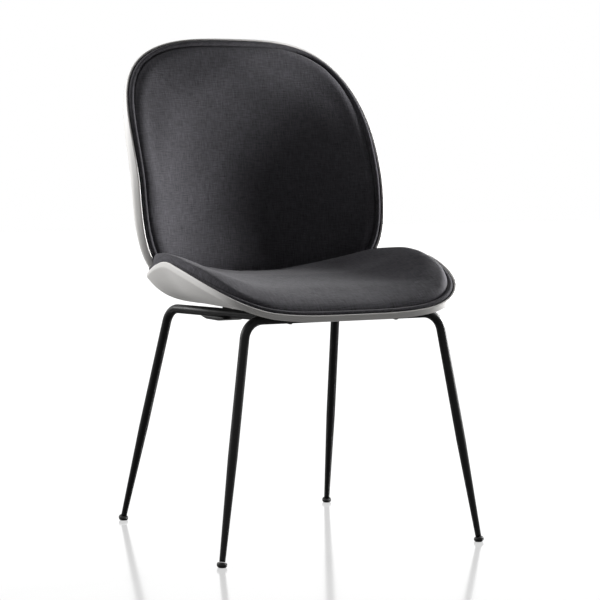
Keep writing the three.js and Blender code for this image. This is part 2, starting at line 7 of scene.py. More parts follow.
import bpy
import numpy as np
from math import pi, radians
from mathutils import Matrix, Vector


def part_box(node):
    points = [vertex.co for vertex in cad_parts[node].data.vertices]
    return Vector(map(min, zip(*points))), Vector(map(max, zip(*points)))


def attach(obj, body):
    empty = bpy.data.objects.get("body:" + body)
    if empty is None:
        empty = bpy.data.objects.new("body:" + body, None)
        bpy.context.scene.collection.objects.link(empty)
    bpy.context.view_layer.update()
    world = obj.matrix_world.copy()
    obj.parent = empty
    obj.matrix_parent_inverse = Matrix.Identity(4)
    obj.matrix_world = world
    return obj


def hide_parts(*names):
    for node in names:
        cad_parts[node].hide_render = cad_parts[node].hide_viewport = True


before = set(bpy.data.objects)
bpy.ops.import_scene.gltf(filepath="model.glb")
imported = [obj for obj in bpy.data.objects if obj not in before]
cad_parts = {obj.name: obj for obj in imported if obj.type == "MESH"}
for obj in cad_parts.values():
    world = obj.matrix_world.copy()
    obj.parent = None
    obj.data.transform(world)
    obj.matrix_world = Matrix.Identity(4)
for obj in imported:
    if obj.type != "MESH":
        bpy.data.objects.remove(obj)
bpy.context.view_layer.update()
scene = bpy.context.scene

# %% [markdown]
# ## Sizes
# A chair is drawn from a few curves: the outline of the seat seen from above, the outline of the
# back seen from the front, and how each one bends. These are the sizes of those curves. Places
# along Y are measured from the line of the front feet, and every finished mesh is shifted by
# `FEET_Y` into the frame.

# %% Sizes of the two dishes
FEET_Y = -0.2406
SEAT_HALF = 0.2525
SEAT_FRONT = 0.232
SEAT_REAR = 0.207
SEAT_MID = 0.232
SEAT_FLOOR = 0.4055
BACK_HALF = 0.2393
BACK_UP = 0.231
BACK_DOWN = 0.212
BACK_MID = 0.6345
BACK_DEPTH = 0.028
BACK_FOOT = 0.457
BACK_LEAN = 0.154
BACK_CURVE = 0.084
RIM = 0.0035
WALL = 0.004
WELT_R = 0.005
PAD_INSET = 0.0075
AROUND = 360
print("seat", 2 * SEAT_HALF, "wide; back", 2 * BACK_HALF, "wide")

# %% [markdown]
# ## Curves that the whole chair shares
# A rounded rectangle can be drawn with arcs and straight lines, or with one formula, the
# superellipse |u/a|^p + |v/b|^q = 1. The formula is used here: its corners flow into its sides
# with no point where the curvature jumps, as on a moulded shell.

# %% Outline helper
def reach(cu, cv, a, b, p, q):
    """Distance t along the direction (cu, cv) at which |t cu / a|^p + |t cv / b|^q = 1."""
    low = np.zeros(np.broadcast(cu, cv, a, b).shape)
    high = low + 1.0
    for _ in range(44):
        t = (low + high) / 2
        inside = np.abs(t * cu / a) ** p + np.abs(t * cv / b) ** q < 1
        low = np.where(inside, t, low)
        high = np.where(inside, high, t)
    return low


def smooth(t, start, stop):
    """0 before start, 1 after stop, and 3s^2 - 2s^3 between them."""
    s = np.clip((t - start) / (stop - start), 0, 1)
    return s * s * (3 - 2 * s)


print("reach of a unit circle:", reach(1.0, 0.0, 0.5, 0.5, 2, 2).round(4))

# %% Seat curves
def seat_outline(angle, grow):
    """Seat outline from above: squarer in front of the middle line, nearly an ellipse behind it."""
    cu, cv = np.cos(angle), np.sin(angle)
    ahead = cv < 0
    length = np.where(ahead, SEAT_FRONT, SEAT_REAR) + grow
    power_u, power_v = np.where(ahead, 6.5, 1.96), np.where(ahead, 2.38, 1.96)
    t = reach(cu, cv, SEAT_HALF + grow, length, power_u, power_v)
    return t * cu, SEAT_MID + t * cv


def seat_sweep(x, y):
    """Height of the seat's edge: it climbs with y^0.9 to the rear and with |x|^3.5 to the wings."""
    climb = 0.0476 * (np.maximum(y, 0) / 0.230) ** 0.9
    return 0.398 + climb + 0.0427 * (np.abs(x) / SEAT_HALF) ** 3.5


def wing_drop(y):
    """How far the rim falls away behind the wings: half a cosine wave over 125 mm."""
    return 0.019 * (1 - np.cos(pi * np.clip((y - 0.175) / 0.125, 0, 1)))


def seat_rim(x, y):
    """Height of the seat shell's rim."""
    return seat_sweep(x, y) - wing_drop(y)


def seat_top(x, y):
    """Height of the pad's edge: level toward the rear in the middle, sunk a little at the sides."""
    middle = 0.026 * np.clip((y - 0.200) / 0.230, 0, 1)
    side = np.minimum(1, np.abs(x) / SEAT_FRONT) ** 4
    return seat_sweep(x, y) - middle * (1 - side) - 0.2 * wing_drop(y) * side


print("rim height in front", seat_rim(0.0, 0.0), "and at a wing", round(float(seat_rim(0.25, 0.2)), 4))

# %% Back curves
def back_face(x, z):
    """Y of the back's front face: it leans steadily and is a parabola across, flat at its top."""
    fade = np.maximum(0, (z - 0.600) / 0.225) ** 1.6
    return 0.392 + BACK_LEAN * (z - BACK_FOOT) - BACK_CURVE * (1 - fade) * (x / BACK_HALF) ** 2


def back_outline(angle, grow):
    """Back outline from the front, a little squarer below its middle than above."""
    cu, cv = np.cos(angle), np.sin(angle)
    above = cv > 0
    power = np.where(above, 3.24, 3.8)
    t = reach(cu, cv, BACK_HALF + grow, np.where(above, BACK_UP, BACK_DOWN) + grow, power, power)
    return t * cu, BACK_MID + t * cv


def back_place(angle, r, grow, depth):
    """Point at share r of the way to the grown outline, `depth` behind the front along its normal."""
    ex, ez = back_outline(angle, grow)
    x, z = ex * r, BACK_MID + (ez - BACK_MID) * r
    h = 0.001
    slope_x = (back_face(x + h, z) - back_face(x - h, z)) / (2 * h)
    slope_z = (back_face(x, z + h) - back_face(x, z - h)) / (2 * h)
    normal = np.stack([-slope_x, np.ones_like(slope_x), -slope_z], -1)
    normal /= np.linalg.norm(normal, axis=-1, keepdims=True)
    return np.stack([x, back_face(x, z), z], -1) + normal * np.asarray(depth)[..., None]


print("back leans", round(float(back_face(0.0, 0.86) - back_face(0.0, 0.46)), 4), "m over its height")

# %% [markdown]
# ## From arrays to meshes
# Every new surface is an array of points. A skin joins rings of points with quads, and is closed
# either by a point at each end or by joining its last ring to its first. A closed surface can
# come out with its faces inwards, so the sign of its volume decides which way they turn.

# %% Mesh builders
def signed_volume(points, faces):
    """Six times the volume inside the faces, the sum of a . (b x c): negative if they face inwards."""
    a, b, c = (points[faces[:, k]] for k in range(3))
    volume = np.einsum("ij,ij->i", a, np.cross(b, c)).sum()
    if faces.shape[1] == 4:
        d = points[faces[:, 3]]
        volume += np.einsum("ij,ij->i", a, np.cross(c, d)).sum()
    return volume


def make_piece(name, points, quads, fans=None):
    """One smooth-shaded object at the origin, with its faces turned outwards."""
    points = points.reshape(-1, 3) + np.array([0, FEET_Y, 0])
    volume = signed_volume(points, quads)
    if fans is not None:
        volume += signed_volume(points, fans)
    parts = [quads] if fans is None else [quads, fans]
    faces = [face for part in parts for face in (part if volume > 0 else part[:, ::-1]).tolist()]
    mesh = bpy.data.meshes.new(name)
    mesh.from_pydata(points.tolist(), [], faces)
    mesh.shade_smooth()
    piece = bpy.data.objects.new(name, mesh)
    scene.collection.objects.link(piece)
    return piece


def skin(name, rings, poles=None):
    """Closed skin over rings (k, n, 3): the poles close its ends, or the last ring meets the first."""
    k, n = rings.shape[:2]
    index = np.arange(k * n).reshape(k, n)
    if poles is None:
        index = np.vstack([index, index[:1]])
    here, right = index, np.roll(index, -1, axis=1)
    quads = np.stack([here[:-1], right[:-1], right[1:], here[1:]], -1).reshape(-1, 4)
    if poles is None:
        return make_piece(name, rings, quads)
    points = np.vstack([rings.reshape(-1, 3), poles])
    first = np.stack([np.full(n, k * n), right[0], here[0]], -1)
    last = np.stack([np.full(n, k * n + 1), here[-1], right[-1]], -1)
    return make_piece(name, points, quads, np.vstack([first, last]))


def count(piece):
    """Says what a piece is made of."""
    low, high = (np.array(piece.bound_box)[i].round(3).tolist() for i in (0, 6))
    print(piece.name, len(piece.data.polygons), "faces, from", low, "to", high)


angles = np.linspace(0, 2 * pi, AROUND, endpoint=False)
print("points round a dish:", AROUND)

# %% [markdown]
# ## Moulded shells
# A shell is one wall of plastic: an outside, a rounded lip and an inside. It could be a single
# surface with a Solidify modifier, but a modifier gives a square edge, and the lip is what the
# light catches. So the profile is carried right round the lip, from the middle of the outside to
# the middle of the inside, and one formula gives each ring.

# %% Seat shell
SEAT_WALL = 0.009
INNER_WALL = 0.0065
LIP_TURNS = np.linspace(0, pi, 9)


def seat_ring(grow, r, z):
    """Ring at share r of the grown seat outline, at heights z."""
    ex, ey = seat_outline(angles, grow)
    return np.stack([ex * r, SEAT_MID + (ey - SEAT_MID) * r, np.broadcast_to(z, ex.shape)], -1)


def wall_height(y):
    """The upright edge of the shell is lower behind the wings."""
    return SEAT_WALL - 0.004 * smooth(y, 0.150, 0.270)


def dish_height(angle, r, grow, floor, wall):
    """Flat floor that turns up as r^7.5 to the rim, and in front as a short lip."""
    ex, ey = seat_outline(angle, grow)
    frontness = np.maximum(0, -np.sin(angle)) ** 4
    turn = (1 - frontness) * r**7.5 + frontness * smooth(r, 0.88, 0.955)
    return floor + (seat_rim(ex, ey) - wall - floor) * turn


def soften(rings, first, last, passes):
    """Rounds a stretch of rings: each moves to a quarter, a half and a quarter of its neighbours."""
    rings = rings.copy()
    for _ in range(passes):
        mid = rings[first:last]
        rings[first:last] = (rings[first - 1 : last - 1] + 2 * mid + rings[first + 1 : last + 1]) / 4
    return rings


shares = 1 - (1 - np.linspace(0.03, 1, 64)) ** 1.45
rim_x, rim_y = seat_outline(angles, RIM)
rim_z, wall = seat_rim(rim_x, rim_y), wall_height(rim_y)
outside = [seat_ring(RIM, r, dish_height(angles, r, RIM, SEAT_FLOOR, wall)) for r in shares]
upright = [seat_ring(RIM, 1, rim_z - wall * (1 - t)) for t in np.linspace(0.15, 0.9, 7)]
lip = [seat_ring(RIM * (1 + np.cos(t)) / 2, 1, rim_z + RIM / 2 * np.sin(t)) for t in LIP_TURNS]
inside = [seat_ring(0, r, dish_height(angles, r, 0, SEAT_FLOOR + WALL, INNER_WALL))
          for r in shares[::-1]]
rings = soften(np.stack(outside + upright + lip + inside), 40, 70, 2)
middle = np.array([[0, SEAT_MID, SEAT_FLOOR], [0, SEAT_MID, SEAT_FLOOR + WALL]])
seat_shell = skin("seat_shell_moulding", rings, middle)
count(seat_shell)

# %% Back shell
def back_dish(theta, grow, depth):
    """Ring of a dish: depth follows |r|^n + |d|^n = 1, with n easing from 5.1 low to 3.5 at the top."""
    r = np.sin(theta) ** (2 / 4.3)
    z = BACK_MID + (back_outline(angles, grow)[1] - BACK_MID) * r
    n = 3.5 + 1.6 * smooth(z, 0.860, 0.640)
    return back_place(angles, r, grow, depth * (1 - r**n) ** (1 / n))


thetas = np.linspace(0, 1, 66)[1:] ** 1.2 * pi / 2
outside = [back_dish(t, RIM, BACK_DEPTH) for t in thetas]
lip = [back_place(angles, 1.0, RIM * (1 + np.cos(t)) / 2, np.full(AROUND, -RIM / 2 * np.sin(t)))
       for t in LIP_TURNS[1:-1]]
inside = [back_dish(t, 0, BACK_DEPTH - WALL) for t in thetas[::-1]]
poles = np.stack([back_place(0.0, 0.0, 0, d) for d in (BACK_DEPTH, BACK_DEPTH - WALL)])
back_shell = skin("back_shell_moulding", np.stack(outside + lip + inside), poles)
count(back_shell)

# %% [markdown]
# ## Pads
# Each pad is foam under a taut cover, sewn to its piping along its edge. A cover can be sculpted,
# but cloth that is blown up against its own stitches finds its fullness by itself. So the pad is a
# closed form, its edge and underside are held, and Blender's cloth swells the rest for 20 frames.
# A square grid is folded round the outline, because cloth behaves best in even squares. The cloth
# also leaves small ripples near the seam, so its movement is evened out over its neighbours.

# %% Folded grid and cloth
PAD_CELLS = 100
SWELL_FRAMES = 20
SWELL_CAP = 0.0025
EVEN_PASSES = 40


def folded_square(cells):
    """Angle and share r for a square grid: each concentric square of the grid is one ring."""
    line = np.linspace(-1, 1, cells + 1)
    u, v = np.meshgrid(line, line)
    wide = np.abs(u) >= np.abs(v)
    safe_u, safe_v = np.where(u == 0, 1, u), np.where(v == 0, 1, v)
    angle = np.where(wide, pi / 4 * v / safe_u, pi / 2 - pi / 4 * u / safe_v)
    angle = angle + np.where(np.where(wide, u, v) < 0, pi, 0)
    ring = np.maximum(np.abs(u), np.abs(v))
    return angle, 1 - (1 - ring) ** 1.3


def pad_from(name, top, under):
    """Closed pad from two square grids of points that share their border."""
    side = top.shape[0]
    upper = np.arange(side * side).reshape(side, side)
    border = np.ones((side, side), bool)
    border[1:-1, 1:-1] = False
    lower = np.where(border, upper, 0)
    lower[1:-1, 1:-1] = side * side + np.arange((side - 2) ** 2).reshape(side - 2, -1)
    points = np.vstack([top.reshape(-1, 3), under[1:-1, 1:-1].reshape(-1, 3)])

    def quads(index):
        return np.stack([index[:-1, :-1], index[:-1, 1:], index[1:, 1:], index[1:, :-1]], -1)

    faces = np.vstack([quads(upper).reshape(-1, 4), quads(lower)[:, :, ::-1].reshape(-1, 4)])
    return make_piece(name, points, faces)


def get_points(piece):
    """Points of a piece as an array with one row each."""
    flat = np.empty(len(piece.data.vertices) * 3)
    piece.data.vertices.foreach_get("co", flat)
    return flat.reshape(-1, 3)


def set_points(piece, points):
    """Moves the points of a piece to the rows of an array."""
    piece.data.vertices.foreach_set("co", points.ravel())
    piece.data.update()


def even_out(move, passes):
    """Blends each move of the top grid half and half with the mean of its four neighbours."""
    grid = move[: (PAD_CELLS + 1) ** 2].reshape(PAD_CELLS + 1, PAD_CELLS + 1, 3)
    for _ in range(passes):
        around = grid[:-2, 1:-1] + grid[2:, 1:-1] + grid[1:-1, :-2] + grid[1:-1, 2:]
        grid[1:-1, 1:-1] = grid[1:-1, 1:-1] / 2 + around / 8


def swell(piece, held, cap):
    """Blows the pad up as cloth where it isn't held, and lets no point move further than the cap."""
    rest = get_points(piece)
    group = piece.vertex_groups.new(name="held")
    group.add(np.flatnonzero(held).tolist(), 1.0, "REPLACE")
    cloth = piece.modifiers.new("cover", "CLOTH")
    cloth.settings.quality = 6
    cloth.settings.vertex_group_mass = "held"
    cloth.settings.use_pressure = True
    cloth.settings.uniform_pressure_force = 4
    cloth.settings.effector_weights.gravity = 0
    for step in range(1, SWELL_FRAMES + 1):
        scene.frame_set(step)
    blown = np.empty(rest.size)
    evaluated = piece.evaluated_get(bpy.context.evaluated_depsgraph_get())
    evaluated.data.vertices.foreach_get("co", blown)
    piece.modifiers.remove(cloth)
    piece.vertex_groups.remove(group)
    scene.frame_set(1)
    move = blown.reshape(-1, 3) - rest
    length = np.linalg.norm(move, axis=1, keepdims=True)
    move *= np.minimum(1, cap / np.maximum(length, 1e-9))
    even_out(move, EVEN_PASSES)
    set_points(piece, rest + move)
    length = np.linalg.norm(move, axis=1)
    mean, most = (1000 * length.mean()).round(2), (1000 * length.max()).round(2)
    print(piece.name, "swelled by", mean, "mm, at most", most)


def refine(piece):
    """One level of subdivision, the same in the view and in the render."""
    rounder = piece.modifiers.new("finer", "SUBSURF")
    rounder.levels = rounder.render_levels = 1


def lay_cloth(piece, across, along):
    """Keeps the place of each point on its fabric, in metres, as the attribute `cloth`."""
    place = np.stack([across, along, np.zeros_like(across)], -1)
    layer = piece.data.attributes.new("cloth", "FLOAT_VECTOR", "POINT")
    layer.data.foreach_set("vector", place.ravel())


print("cells on a pad:", PAD_CELLS, "by", PAD_CELLS)

# %% Seat pad
TUCK = 0.009
PAD_FRONT = 0.0105
SEAT_CROWN = 0.027
SEAT_BOLSTER = 0.013


def rolled(distance, width):
    """Quarter of an ellipse: 0 at the seam, 1 from `width` inside it."""
    return np.sqrt(1 - (1 - np.clip(distance / width, 0, 1)) ** 2)


def ahead_of_pad(x, y, z):
    """How far a point is ahead of the back pad's front, in metres."""
    return back_face(x, z) - PAD_FRONT - y


def seat_pad_points(angle, r):
    """Top and underside of the seat pad, over the seat outline less the piping's band.

    The top is the edge's height, a crown that sinks toward the rear, and a bolster along each side
    that fades as a bell curve. It dips at the seam, and tucks under the back pad as an ellipse."""
    ex, ey = seat_outline(angle, -PAD_INSET)
    x, y = ex * r, SEAT_MID + (ey - SEAT_MID) * r
    y = np.minimum(y, back_face(x, BACK_FOOT) - PAD_FRONT)
    crown = SEAT_CROWN * (1 - 0.9 * np.clip((y - 0.020) / 0.340, 0, 1) ** 0.8)
    from_edge = (1 - r) * np.hypot(ex, ey - SEAT_MID)
    bolster = SEAT_BOLSTER * smooth(np.abs(np.cos(angle)), 0.2, 0.8) * smooth(y, -0.02, 0.11)
    bolster *= rolled(from_edge, 0.012) * np.exp(-(np.maximum(from_edge - 0.012, 0) / 0.060) ** 2)
    dip = 0.005 * (1 - rolled(from_edge, 0.006))
    rise = crown * (0.7 * (1 - r**8) + 0.3 * rolled(from_edge, 0.012))
    z = seat_top(x, y) + rise + bolster - dip
    ahead = np.clip(ahead_of_pad(x, y, z) / TUCK, 0, 1)
    z = z - TUCK * (1 - np.sqrt(1 - (1 - ahead) ** 2))
    floor = dish_height(angle, r, 0, SEAT_FLOOR + WALL, INNER_WALL) + 0.002
    lift = 0.012 * (1 - smooth(r, 0.55, 0.85))
    return np.stack([x, y, z], -1), np.stack([x, y, np.minimum(floor + lift, z - 0.001)], -1)


pad_angle, pad_r = folded_square(PAD_CELLS)
top, under = seat_pad_points(pad_angle, pad_r)
seat_pad = pad_from("seat_pad_cover", top, under)
held = np.ones(len(seat_pad.data.vertices), bool)
held[: pad_r.size] = (pad_r > 0.99).ravel()
swell(seat_pad, held, SWELL_CAP)
refine(seat_pad)
placed = get_points(seat_pad)
lay_cloth(seat_pad, placed[:, 0], placed[:, 1])
count(seat_pad)

# %% Back pad
BACK_FULLNESS = 0.0135


def back_pad_points(angle, r):
    """Front and rear of the back pad: the front rolls up from the seam over 20 mm, then stays full."""
    ex, ez = back_outline(angle, -PAD_INSET)
    from_edge = (1 - r) * np.hypot(ex, ez - BACK_MID)
    dip = 0.004 * (1 - rolled(from_edge, 0.005))
    front = back_place(angle, r, -PAD_INSET, dip - BACK_FULLNESS * rolled(from_edge - 0.001, 0.020))
    rear = back_place(angle, r, -PAD_INSET, 0.005 + 0.010 * (1 - r**6) ** (1 / 6))
    return front, rear


front, rear = back_pad_points(pad_angle, pad_r)
back_pad = pad_from("back_pad_cover", front, rear)
swell(back_pad, held, SWELL_CAP)
refine(back_pad)
placed = get_points(back_pad)
bend = BACK_CURVE / BACK_HALF**2
arc = placed[:, 0] * np.sqrt(1 + (bend * placed[:, 0]) ** 2)
lay_cloth(back_pad, arc, placed[:, 2])
count(back_pad)

# %% [markdown]
# ## Piping
# Piping is a cord wrapped in a folded strip of the same fabric and sewn in along the edge. A
# curve with a round bevel would do, but this is a profile carried along a path in arrays, so that
# the strip's own weave can run along it and its roll can vary a little, as hand-sewn piping does.

# %% Piping
def roll_along(path, hub, radius, sides, closed=True):
    """Rings round a path: each is a circle in the plane across the path, turned to face the hub."""
    if closed:
        ahead = np.roll(path, -1, axis=0) - np.roll(path, 1, axis=0)
    else:
        ahead = np.gradient(path, axis=0)
    ahead /= np.linalg.norm(ahead, axis=1, keepdims=True)
    away = path - hub
    side = np.cross(ahead, away)
    side /= np.linalg.norm(side, axis=1, keepdims=True)
    across = np.cross(side, ahead)
    turn = np.linspace(0, 2 * pi, sides, endpoint=False)[None, :, None]
    size = np.broadcast_to(radius, path.shape[:1])[:, None, None]
    return path[:, None] + size * (np.cos(turn) * across[:, None] + np.sin(turn) * side[:, None])


def run_length(path):
    """Distance travelled along the path at each of its points."""
    return np.concatenate([[0], np.cumsum(np.linalg.norm(np.diff(path, axis=0), axis=1))])


PIPING_SIDES = 20
welt_inset = -(WELT_R + 0.0004)
fine = np.linspace(0, 2 * pi, 560, endpoint=False)
uneven = 1 + 0.018 * np.sin(23 * fine + 1) * np.sin(7 * fine) + 0.012 * np.sin(61 * fine)

back_path = back_place(fine, 1.0, welt_inset, np.full(fine.shape, -0.0022))
back_hub = np.array([0, 0.4, BACK_MID])
back_rolls = roll_along(back_path, back_hub, WELT_R * uneven, PIPING_SIDES)
back_piping = skin("back_piping_roll", back_rolls)
count(back_piping)

x, y = seat_outline(fine, welt_inset)
seat_path = np.stack([x, y, seat_rim(x, y) + 0.001 + 0.3 * wing_drop(y)], -1)
ahead_of_back = seat_path[:, 1] < back_face(seat_path[:, 0], seat_path[:, 2]) - 0.002
start = np.flatnonzero(ahead_of_back & ~np.roll(ahead_of_back, 1))[0]
seat_path = np.roll(seat_path, -start, axis=0)[: ahead_of_back.sum()]
ends = np.minimum(np.arange(len(seat_path)), np.arange(len(seat_path))[::-1])
taper = 0.35 + 0.65 * np.sqrt(1 - (1 - np.clip(ends / 6, 0, 1)) ** 2)
seat_hub = np.array([0, SEAT_MID, 0.43])
seat_rolls = roll_along(seat_path, seat_hub, WELT_R * taper, PIPING_SIDES, closed=False)
seat_piping = skin("seat_piping_roll", seat_rolls, seat_path[[0, -1]])
count(seat_piping)

for piece, path in ((back_piping, back_path), (seat_piping, seat_path)):
    run = np.repeat(run_length(path), PIPING_SIDES)
    girth = np.tile(np.arange(PIPING_SIDES) * 2 * pi * WELT_R / PIPING_SIDES, len(path))
    spare = len(piece.data.vertices) - len(run)
    lay_cloth(piece, np.append(run, [0] * spare), np.append(girth, [0] * spare))

# %% [markdown]
# ## Frame of bent tube
# Each tube was bent on a machine: straight stretches joined by arcs of one radius, then swaged to
# a taper at the foot. The centre line is worked out with the same corners as the real frame and a
# circle is carried along it. All these centre lines are flat, so one normal serves for every ring.

# %% Tubes
TUBE_R = 0.008
TIP_R = 0.005
BEND_R = 0.034
TUBE_Z = 0.3935
REAR_Z = 0.391
TUBE_END = 0.009
TAPER_TOP = 0.175
FRONT_FOOT = np.array([0.245, 0.0, 0.0])
FRONT_CORNER = np.array([0.182, 0.036, TUBE_Z])
REAR_FOOT = np.array([0.210, 0.482, 0.0])
REAR_CORNER = np.array([0.167, 0.368, REAR_Z])
REAR_END = np.array([0.100, 0.036, TUBE_Z])
RIGHT = np.array([-1, 1, 1])


def unit(v):
    """The same direction with length 1."""
    return v / np.linalg.norm(v)


def bent(corners, radius, step=0.004):
    """Line through the corners with each inner one rounded to an arc, sampled every 4 mm or so."""
    line = [corners[0][None]]
    for before, at, after in zip(corners, corners[1:], corners[2:]):
        a, b = unit(before - at), unit(after - at)
        half = np.arccos(a @ b) / 2
        centre = at + unit(a + b) * radius / np.sin(half)
        tangent = radius / np.tan(half)
        first, last = at + a * tangent - centre, at + b * tangent - centre
        sweep = pi - 2 * half
        t = np.linspace(0, 1, 15)[:, None]
        arc = (np.sin((1 - t) * sweep) * first + np.sin(t * sweep) * last) / np.sin(sweep)
        line.append(centre + arc)
    line.append(corners[-1][None])
    corner_points = np.vstack(line)
    run = run_length(corner_points)
    even = np.linspace(0, run[-1], int(run[-1] / step))
    return np.stack([np.interp(even, run, corner_points[:, k]) for k in range(3)], -1)


def tube(name, path, radius, sides=36):
    """Round bar along a flat path, closed at its ends."""
    ahead = np.gradient(path, axis=0)
    ahead /= np.linalg.norm(ahead, axis=1, keepdims=True)
    side = unit(np.cross(path[0] - path[len(path) // 2], path[-1] - path[len(path) // 2]))
    across = np.cross(ahead, side)
    turn = np.linspace(0, 2 * pi, sides, endpoint=False)[None, :, None]
    circle = np.cos(turn) * side + np.sin(turn) * across[:, None]
    rings = path[:, None] + radius[:, None, None] * circle
    return skin(name, rings, path[[0, -1]])


def leg_radius(path):
    """16 mm tube, swaged down to 10 mm over its lowest stretch."""
    return TIP_R + (TUBE_R - TIP_R) * np.clip((path[:, 2] - TUBE_END) / (TAPER_TOP - TUBE_END), 0, 1)


front_end = FRONT_FOOT + (FRONT_CORNER - FRONT_FOOT) * TUBE_END / TUBE_Z
hoop_path = bent([front_end * RIGHT, FRONT_CORNER * RIGHT, FRONT_CORNER, front_end], BEND_R)
front_hoop = tube("front_hoop_tube", hoop_path, leg_radius(hoop_path))
count(front_hoop)

rear_end = REAR_FOOT + (REAR_CORNER - REAR_FOOT) * TUBE_END / REAR_Z
rear_path = bent([rear_end, REAR_CORNER, REAR_END], BEND_R)
rear_tubes = {
    "left": tube("rear_tube_left", rear_path, leg_radius(rear_path)),
    "right": tube("rear_tube_right", rear_path * RIGHT, leg_radius(rear_path)),
}
count(rear_tubes["left"])

# %% [markdown]
# ## Welds
# The rear tubes are coped to the crossbar and welded all round. Two round bars of one size meet in
# a closed curve that a quadratic gives, and the weld is a thin roll along it, with the ripple that
# a welder's steady steps leave.

# %% Weld beads
BEAD_TURN = np.linspace(0, 2 * pi, 150, endpoint=False)
BEAD_R = 0.0016 * (1 + 0.13 * np.sin(46 * BEAD_TURN))


def weld_loop(start, along):
    """Where a bar from `start` in the direction `along` leaves the crossbar's surface."""
    turn = BEAD_TURN[:, None]
    first = unit(np.cross(along, [0, 0, 1]))
    second = np.cross(along, first)
    point = start + TUBE_R * (np.cos(turn) * first + np.sin(turn) * second)
    offset = point[:, 1:] - start[1:]
    b = offset @ along[1:]
    c = (offset**2).sum(1) - TUBE_R**2
    a = along[1:] @ along[1:]
    run = (-b + np.sqrt(np.maximum(b * b - a * c, 0))) / a
    return point + run[:, None] * along


beads = {}
for label, mirror in (("left", np.ones(3)), ("right", RIGHT)):
    start = REAR_END * mirror
    along = unit((REAR_CORNER - REAR_END) * mirror)
    loop = weld_loop(start, along)
    beads[label] = skin(f"crossbar_weld_{label}", roll_along(loop, start + along * 0.004, BEAD_R, 10))
count(beads["left"])

# %% [markdown]
# ## Glides, bolts, washers and spacers
# All of these are turned or moulded round, so each is a profile of radius against height, carried
# once round its axis. The socket of a bolt head is the same skin with its radius bent to a
# hexagon.

# %% Turned pieces
def hexagon(turn, flat):
    """Radius of a hexagon whose flats are `flat` from the middle."""
    return flat / np.cos((turn + pi / 6) % (pi / 3) - pi / 6)


def turned(name, radii, heights, base, axis, sides=40, poles=True):
    """Profile carried round an axis from `base`. A radius may be a number or one value for each side."""
    turn = np.linspace(0, 2 * pi, sides, endpoint=False)
    first = unit(np.cross(axis, [0.0, 1.0, 0.0]))
    second = np.cross(axis, first)
    rays = np.cos(turn)[:, None] * first + np.sin(turn)[:, None] * second
    rings = np.stack([
        base + np.broadcast_to(r, turn.shape)[:, None] * rays + h * axis for r, h in zip(radii, heights)
    ])
    ends = np.stack([base + heights[0] * axis, base + heights[-1] * axis]) if poles else None
    return skin(name, rings, ends)


def stand_of(node):
    """Foot of a CAD node's upright axis, measured from the line of the front feet, and its height."""
    low, high = (np.array(corner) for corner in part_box(node))
    middle = (low + high) / 2 - np.array([0, FEET_Y, 0])
    return np.array([middle[0], middle[1], low[2]]), high[2] - low[2]


def collar(name, node, outer, bevel):
    """Washer or spacer in a CAD node's place, with both its outer edges bevelled."""
    base, thick = stand_of(node)
    radii = [BOLT_HOLE, outer - bevel, outer, outer, outer - bevel, BOLT_HOLE]
    heights = [0, 0, bevel, thick - bevel, thick, thick]
    return turned(name, radii, heights, base, UP, poles=False)


UP = np.array([0.0, 0.0, 1.0])
BOLT_HOLE = 0.0035
glides = {}
dome = np.linspace(0.06, 1, 12) * pi / 2
dome_r = np.concatenate([0.0085 * np.sin(dome) ** 0.8, [0.0084, 0.0080, 0.0072, 0.0058]])
dome_h = np.concatenate([0.0045 - 0.0060 * np.cos(dome) ** 1.1, [0.0062, 0.0074, 0.0081, 0.0084]])
for row, foot, corner in (("front", FRONT_FOOT, FRONT_CORNER), ("rear", REAR_FOOT, REAR_CORNER)):
    for label, mirror in (("left", np.ones(3)), ("right", RIGHT)):
        along = unit((corner - foot) * mirror)
        glide = turned(f"glide_cap_{row}_{label}", dome_r, dome_h, foot * mirror, along)
        points = get_points(glide)
        points[:, 2] = np.maximum(points[:, 2], 0)
        set_points(glide, points)
        glides[f"glide_{row}_{label}"] = glide
print("glides:", sorted(glides))

# %% Fixings under the seat
turn = np.linspace(0, 2 * pi, 40, endpoint=False)
SOCKET = hexagon(turn, 0.002)
HEADS = {
    "front": (
        [0.0003, SOCKET, SOCKET, SOCKET + 0.0004, 0.0038, 0.0048,
         0.0055, 0.0059, 0.0060, 0.0058, 0.003, 0.003],
        [0.0016, 0.0016, 0.0003, 0.0, 0.0, 0.0004, 0.0010, 0.0018, 0.0026, 0.0028, 0.0028],
    ),
    "rear": (
        [0.0003, SOCKET, SOCKET, SOCKET + 0.0003, 0.0056, 0.0060, 0.0060, 0.0032, 0.003, 0.003],
        [0.0018, 0.0018, 0.0002, 0.0, 0.0, 0.0002, 0.0004, 0.0030, 0.0034],
    ),
}
fixings = {}
for row in ("front", "rear"):
    for label in ("left", "right"):
        place = f"{row}_{label}"
        base, length = stand_of(f"bolt_{place}")
        radii, heights = HEADS[row]
        fixings[f"bolt_{place}"] = turned(f"seat_bolt_{place}", radii, heights + [length], base, UP)
        if row == "front":
            washer = f"washer_{place}"
            fixings[washer] = collar(f"seat_{washer}", washer, 0.0085, 0.0003)
        spacer = f"spacer_{place}"
        fixings[spacer] = collar(f"seat_{spacer}", spacer, 0.008, 0.0006)
print("fixings:", len(fixings))

# %% [markdown]
# ## Finishes
# Every finish is built from nodes on the object's own coordinates, or on the place of each point on
# its fabric. What several finishes share is a node group with named inputs: a weave, a moulding
# grain, and dust with worn edges. A group gives colours, masks and heights, and the shader itself
# stays in each material.

# %% Node helpers
def put(tree, kind, inputs=None, **settings):
    """Adds a node; an input is given a value, or a link where the value is another node's socket."""
    node = tree.nodes.new(kind)
    for key, value in settings.items():
        setattr(node, key, value)
    for key, value in (inputs or {}).items():
        if isinstance(value, bpy.types.NodeSocket):
            tree.links.new(value, node.inputs[key])
        else:
            node.inputs[key].default_value = value
    return node


